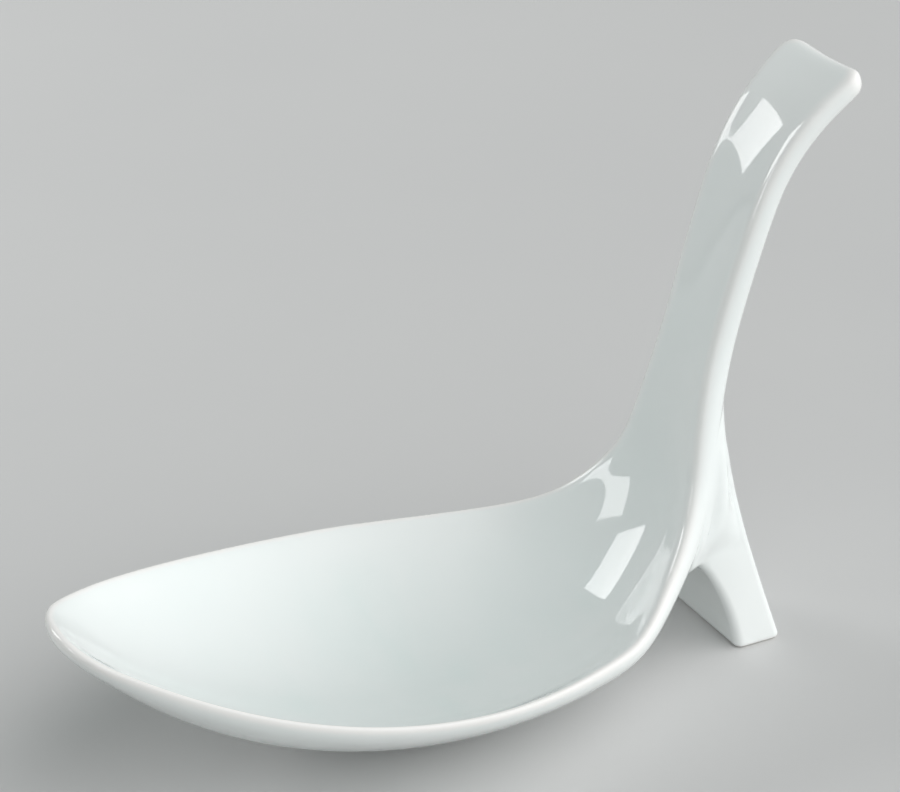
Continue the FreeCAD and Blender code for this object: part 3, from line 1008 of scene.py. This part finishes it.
# %% [markdown]
# ## Table, light and camera
#
# The table is plain and pale, so that the white spoon needs a shadow and darker
# reflections to stand out from it.  The room is brighter on the viewer's right, as beside a
# white wall, and that soft light has no edge that the gloss could show: rays from the
# camera, the gloss or glass meet an even pale room instead.  Two broad lamps on the far
# side of the spoon stand in for windows, and the gloss shows them as bright panes on the
# handle and the neck.

# %% Table
HALF_TABLE = 4.0
floor_mesh = bpy.data.meshes.new("table")
floor_mesh.from_pydata(
    [(-HALF_TABLE, -HALF_TABLE, 0), (HALF_TABLE, -HALF_TABLE, 0),
     (HALF_TABLE, HALF_TABLE, 0), (-HALF_TABLE, HALF_TABLE, 0)], [], [(0, 1, 2, 3)])
table = bpy.data.objects.new("table", floor_mesh)
bpy.context.scene.collection.objects.link(table)
paper = bpy.data.materials.new("pale_table")
paper.use_nodes = True
tree = Tree(paper.node_tree)
grain = tree.add("ShaderNodeTexNoise", inputs={
    "Vector": tree.add("ShaderNodeTexCoord")["Object"], "Scale": 9.0, "Detail": 4.0})["Fac"]
surface = tree.add("ShaderNodeBsdfPrincipled", inputs={
    "Base Color": tree.mix(grain, (0.60, 0.60, 0.60, 1), (0.64, 0.64, 0.635, 1)),
    "Roughness": 0.75})["BSDF"]
tree.add("ShaderNodeOutputMaterial", inputs={"Surface": surface})
floor_mesh.materials.append(paper)
print("table: %.0f m wide" % (2 * HALF_TABLE))

# %% Room light
BRIGHT_SIDE = (0.58, -0.69, 0.43)
SHADE_TINT, WHITE = (0.72, 1, 0.96, 1), (1, 1, 1, 1)
LEAST_LIGHT, SIDE_LIGHT, SEEN_LIGHT = 0.05, 2.02, 0.72
world = bpy.data.worlds.new("room")
bpy.context.scene.world = world
world.use_nodes = True
tree = Tree(world.node_tree)
facing = tree.add("ShaderNodeVectorMath", {"operation": "DOT_PRODUCT"}, {
    0: tree.add("ShaderNodeTexCoord")["Generated"], 1: BRIGHT_SIDE})["Value"]
lighting = tree.add("ShaderNodeBackground", inputs={
    "Color": tree.mix(facing.between(0.0, 0.7), SHADE_TINT, WHITE),
    "Strength": LEAST_LIGHT + SIDE_LIGHT * facing.between(0.17, 0.95)})["Background"]
seen = tree.add("ShaderNodeBackground", inputs={
    "Color": WHITE, "Strength": SEEN_LIGHT})["Background"]
rays = tree.add("ShaderNodeLightPath")
shown = rays["Is Camera Ray"].highest(rays["Is Transmission Ray"]).highest(rays["Is Glossy Ray"])
sky = tree.add("ShaderNodeMixShader", inputs={0: shown, 1: lighting, 2: seen})["Shader"]
tree.add("ShaderNodeOutputWorld", inputs={"Surface": sky})
print("room nodes:", len(world.node_tree.nodes))


# %% Windows
MIDDLE_HEIGHT = 60.0 * MM


def window(name, where, size, towards, strength, turned):
    """A soft rectangular lamp at one place, aimed at another, turned on its axis in degrees.

    Its strength is how bright it makes a white wall that faces it: the power is pi squared
    times that, times the square of the distance.
    """
    lamp = bpy.data.lights.new(name, "AREA")
    lamp.shape = "RECTANGLE"
    lamp.size, lamp.size_y = size
    where, towards = Vector(where), Vector(towards)
    lamp.energy = strength * math.pi ** 2 * (where - towards).length_squared
    lamp_object = bpy.data.objects.new(name, lamp)
    bpy.context.scene.collection.objects.link(lamp_object)
    lamp_object.location = where
    aimed = (where - towards).to_track_quat("Z", "Y")
    lamp_object.rotation_euler = (aimed @ Quaternion((0, 0, 1), math.radians(turned))).to_euler()
    lamp_object.visible_camera = False
    print("%s: %.2f W, %.2f m up" % (name, lamp.energy, where.z))


def sideways(azimuth, elevation, distance):
    """A place round the spoon's middle: azimuth 0 is in front of it, -90 at its tip."""
    azimuth, elevation = math.radians(azimuth), math.radians(elevation)
    return (distance * math.sin(azimuth) * math.cos(elevation),
            -distance * math.cos(azimuth) * math.cos(elevation),
            MIDDLE_HEIGHT + distance * math.sin(elevation))


window("back_window", where=sideways(azimuth=-144, elevation=22, distance=1.3),
       size=(0.50, 0.50), towards=(0.03, 0, 0.06), strength=0.25, turned=45)
window("side_window", where=sideways(azimuth=-110, elevation=14, distance=1.3),
       size=(0.32, 0.42), towards=(0.03, 0, 0.03), strength=0.12, turned=30)

# %% Camera
TARGET = Vector((-0.94, 0.0, 53.79)) * MM
DISTANCE = 454.5 * MM
AZIMUTH, ELEVATION = math.radians(-28.0), math.radians(27.0)
camera_data = bpy.data.cameras.new("camera")
camera_data.lens = 120.0
camera_data.sensor_width = 36.0
camera = bpy.data.objects.new("camera", camera_data)
bpy.context.scene.collection.objects.link(camera)
camera.location = TARGET + DISTANCE * Vector((
    math.sin(AZIMUTH) * math.cos(ELEVATION), -math.cos(AZIMUTH) * math.cos(ELEVATION),
    math.sin(ELEVATION)))
camera.rotation_euler = (math.pi / 2 - ELEVATION, 0.0, AZIMUTH)
bpy.context.scene.camera = camera
bpy.context.scene.view_settings.view_transform = "Standard"
print("camera: %.0f mm from the spoon" % (DISTANCE / MM))
